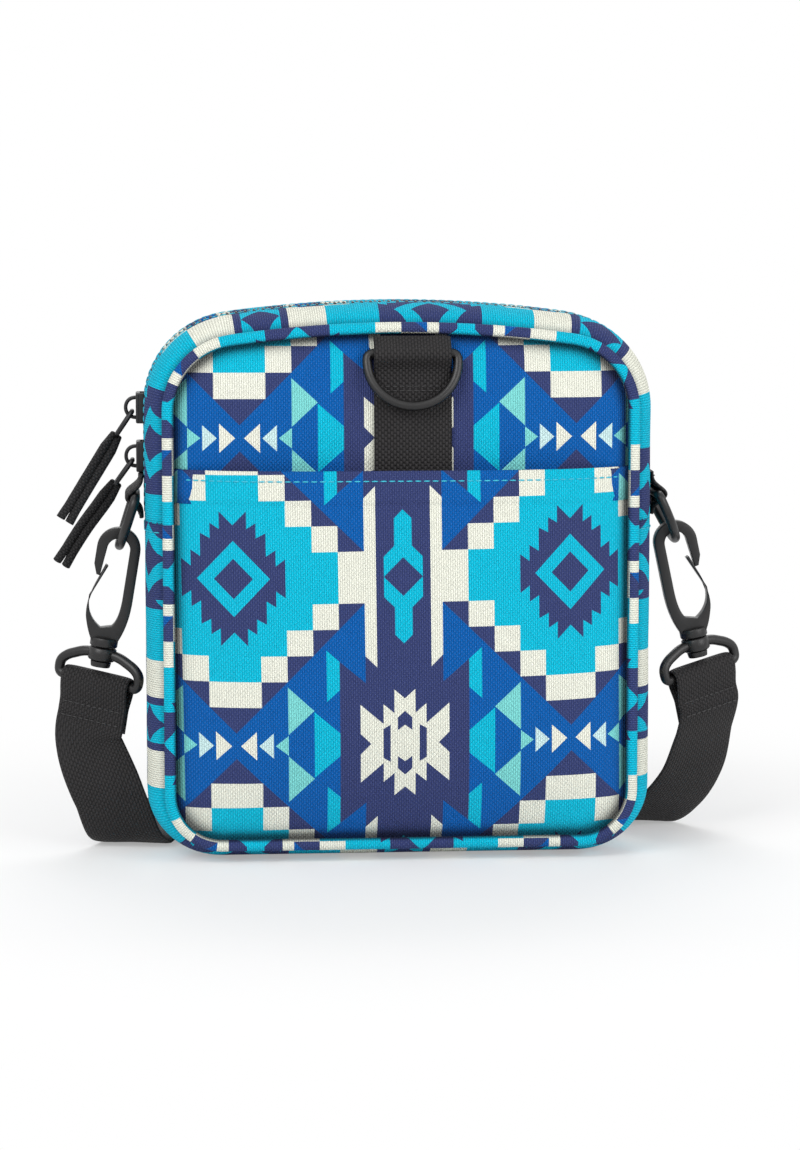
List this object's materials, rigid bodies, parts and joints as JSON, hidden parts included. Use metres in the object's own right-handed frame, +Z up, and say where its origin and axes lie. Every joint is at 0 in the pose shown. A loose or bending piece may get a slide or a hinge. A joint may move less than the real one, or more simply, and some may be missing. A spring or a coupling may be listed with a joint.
{
  "type": "crossbody bag",
  "caption": "Small boxy zip crossbody bag in printed canvas with a front slip pocket, hanging D-rings, swivel snap hooks and a webbing strap folded behind it.",
  "frame": {"origin": "middle of the flat base, on the floor", "axes": "+Z up, front towards -Y, +X to the right seen from the front"},
  "size_m": [0.2331, 0.2138, 0.1818],
  "materials": {
    "canvas_print": "printed plain weave",
    "webbing": "ribbed black webbing",
    "zip_tape": "black woven tape",
    "zip_coil": "black coil",
    "plastic": "black moulded plastic, slight sheen",
    "zip_metal": "black enamel"
  },
  "bodies": {
    "bag": {"front_panel": "canvas_print", "front_pocket": "canvas_print", "back_panel": "canvas_print", "front_piping": "canvas_print", "back_piping": "canvas_print", "zip_gusset_front": "canvas_print", "zip_gusset_back": "canvas_print", "lower_gusset": "canvas_print", "zipper_tape_front": "zip_tape", "zipper_tape_back": "zip_tape", "zipper_coil_front": "zip_coil", "zipper_coil_back": "zip_coil", "front_webbing": "webbing", "left_tab": "webbing", "right_tab": "webbing", "strap_left_run": "webbing", "strap_folds": "webbing", "strap_right_run": "webbing"},
    "front_ring": {"front_ring": "plastic"},
    "left_link": {"left_ring": "plastic", "left_eye": "plastic", "strap_left_loop": "webbing"},
    "left_hook": {"left_hook": "plastic"},
    "right_link": {"right_ring": "plastic", "right_eye": "plastic", "strap_right_loop": "webbing"},
    "right_hook": {"right_hook": "plastic"},
    "upper_slider": {"upper_slider": "zip_metal"},
    "upper_pull": {"upper_pull": "zip_metal", "upper_pull_cord": "webbing"},
    "lower_slider": {"lower_slider": "zip_metal"},
    "lower_pull": {"lower_pull": "zip_metal", "lower_pull_cord": "webbing"}
  },
  "joints": [
    {"name": "front_ring_swing", "type": "hinge", "parent": "bag", "child": "front_ring", "pos_m": [0.003, -0.03152, 0.166], "axis": [-1, 0, 0], "range_deg": [0, 140]},
    {"name": "left_ring_swing", "type": "hinge", "parent": "bag", "child": "left_link", "pos_m": [-0.086, 0, 0.118], "axis": [0, 1, 0], "range_deg": [0, 22], "deforming": ["strap_left_run"]},
    {"name": "right_ring_swing", "type": "hinge", "parent": "bag", "child": "right_link", "pos_m": [0.086, 0, 0.118], "axis": [0, -1, 0], "range_deg": [0, 20], "deforming": ["strap_right_run"]},
    {"name": "left_hook_swivel", "type": "hinge", "parent": "left_link", "child": "left_hook", "pos_m": [-0.09703, 0, 0.06777], "axis": [0.165, 0, 0.9863], "range_deg": [-22, 22]},
    {"name": "right_hook_swivel", "type": "hinge", "parent": "right_link", "child": "right_hook", "pos_m": [0.10048, 0, 0.06883], "axis": [-0.2079, 0, 0.9781], "range_deg": [-22, 22]},
    {"name": "upper_slider_travel", "type": "hinge", "parent": "bag", "child": "upper_slider", "pos_m": [-0.052, 0, 0.14689], "axis": [0, 1, 0], "range_deg": [0, 70]},
    {"name": "upper_pull_swing", "type": "hinge", "parent": "upper_slider", "child": "upper_pull", "pos_m": [-0.0868, 0, 0.14559], "axis": [0, 1, 0], "range_deg": [0, 100]},
    {"name": "lower_slider_travel", "type": "slide", "parent": "bag", "child": "lower_slider", "axis": [0, 0, 1], "range_m": [0, 0.005]},
    {"name": "lower_pull_swing", "type": "hinge", "parent": "lower_slider", "child": "lower_pull", "pos_m": [-0.0868, 0, 0.1296], "axis": [0, 1, 0], "range_deg": [0, 12]}
  ]
}
